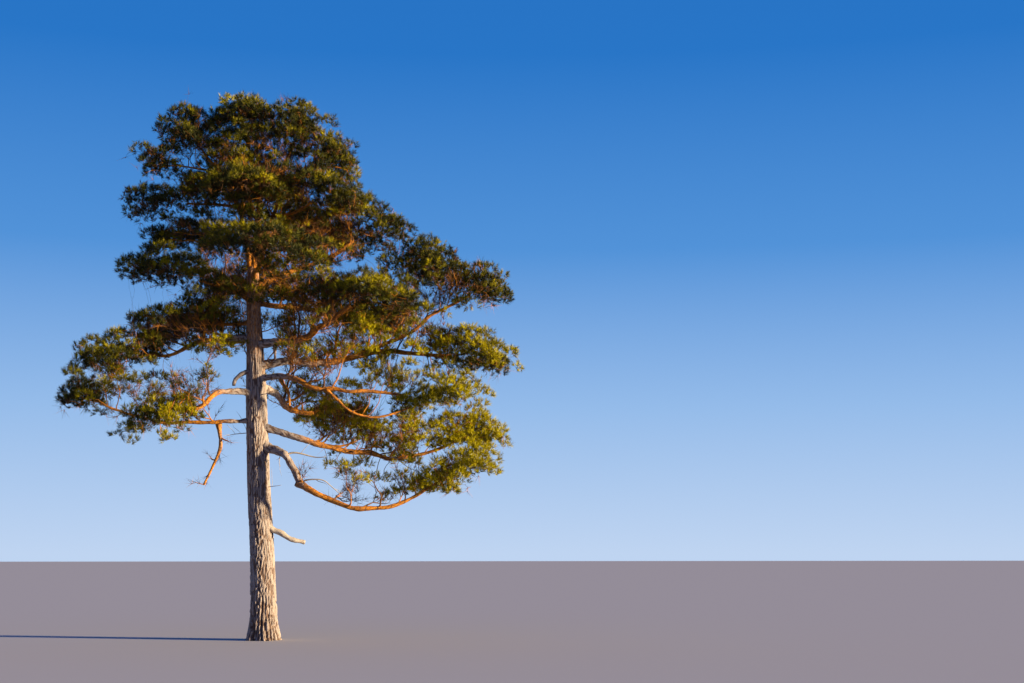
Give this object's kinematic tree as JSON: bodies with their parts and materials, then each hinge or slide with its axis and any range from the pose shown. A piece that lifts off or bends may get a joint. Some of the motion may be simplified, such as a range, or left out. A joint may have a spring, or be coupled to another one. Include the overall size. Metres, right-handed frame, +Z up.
{
  "type": "scots pine tree",
  "caption": "Old open-grown conifer, rooted in the ground, with a leaning tapered trunk, bent orange boughs and a broad domed crown of separate foliage pads.",
  "frame": {"origin": "centre of the flat cut under the trunk, at ground level", "axes": "+Z up along the tree; +X to the right and +Y away from the viewer, seen from the side that the picture shows"},
  "size_m": [13.875, 10.2, 16.5],
  "materials": {
    "trunk_bark": "rough plated bark, grey-beige",
    "limb_bark": "flaking bark, orange-brown",
    "dead_wood": "bare weathered wood, pale",
    "foliage": "needle foliage, olive green, matte"
  },
  "bodies": {
    "root": {"bough_back": "limb_bark", "bough_back_high": "limb_bark", "bough_back_left": "limb_bark", "bough_back_right": "limb_bark", "bough_back_right_low": "limb_bark", "bough_front": "limb_bark", "bough_front_high": "limb_bark", "bough_left_arm": "limb_bark", "bough_left_back_high": "limb_bark", "bough_left_bright": "limb_bark", "bough_left_end": "limb_bark", "bough_left_pad": "limb_bark", "bough_left_shelf": "limb_bark", "bough_left_tip": "limb_bark", "bough_left_tuft": "limb_bark", "bough_low_right": "limb_bark", "bough_low_right_elbow": "limb_bark", "bough_low_right_upper": "limb_bark", "bough_right_arm": "limb_bark", "bough_right_crest": "limb_bark", "bough_right_front": "limb_bark", "bough_right_high": "limb_bark", "bough_right_shelf": "limb_bark", "bough_right_shelf_fork": "limb_bark", "bough_right_shoulder": "limb_bark", "bough_right_upper": "limb_bark", "dead_stub": "dead_wood", "foliage_back_high": "foliage", "foliage_back_left": "foliage", "foliage_back_pad": "foliage", "foliage_back_right": "foliage", "foliage_back_right_low": "foliage", "foliage_front_high": "foliage", "foliage_front_pad": "foliage", "foliage_heart": "foliage", "foliage_left_arm": "foliage", "foliage_left_back_high": "foliage", "foliage_left_bright": "foliage", "foliage_left_end": "foliage", "foliage_left_pad": "foliage", "foliage_left_shelf": "foliage", "foliage_left_tip": "foliage", "foliage_left_tuft": "foliage", "foliage_low_arm": "foliage", "foliage_low_end": "foliage", "foliage_right_arm": "foliage", "foliage_right_crest": "foliage", "foliage_right_end": "foliage", "foliage_right_front": "foliage", "foliage_right_high": "foliage", "foliage_right_shelf": "foliage", "foliage_right_shoulder": "foliage", "foliage_right_upper": "foliage", "foliage_top_crest": "foliage", "foliage_top_left": "foliage", "foliage_top_right": "foliage", "leader_left": "limb_bark", "leader_mid": "limb_bark", "leader_right": "limb_bark", "trunk": "trunk_bark"}
  },
  "joints": []
}
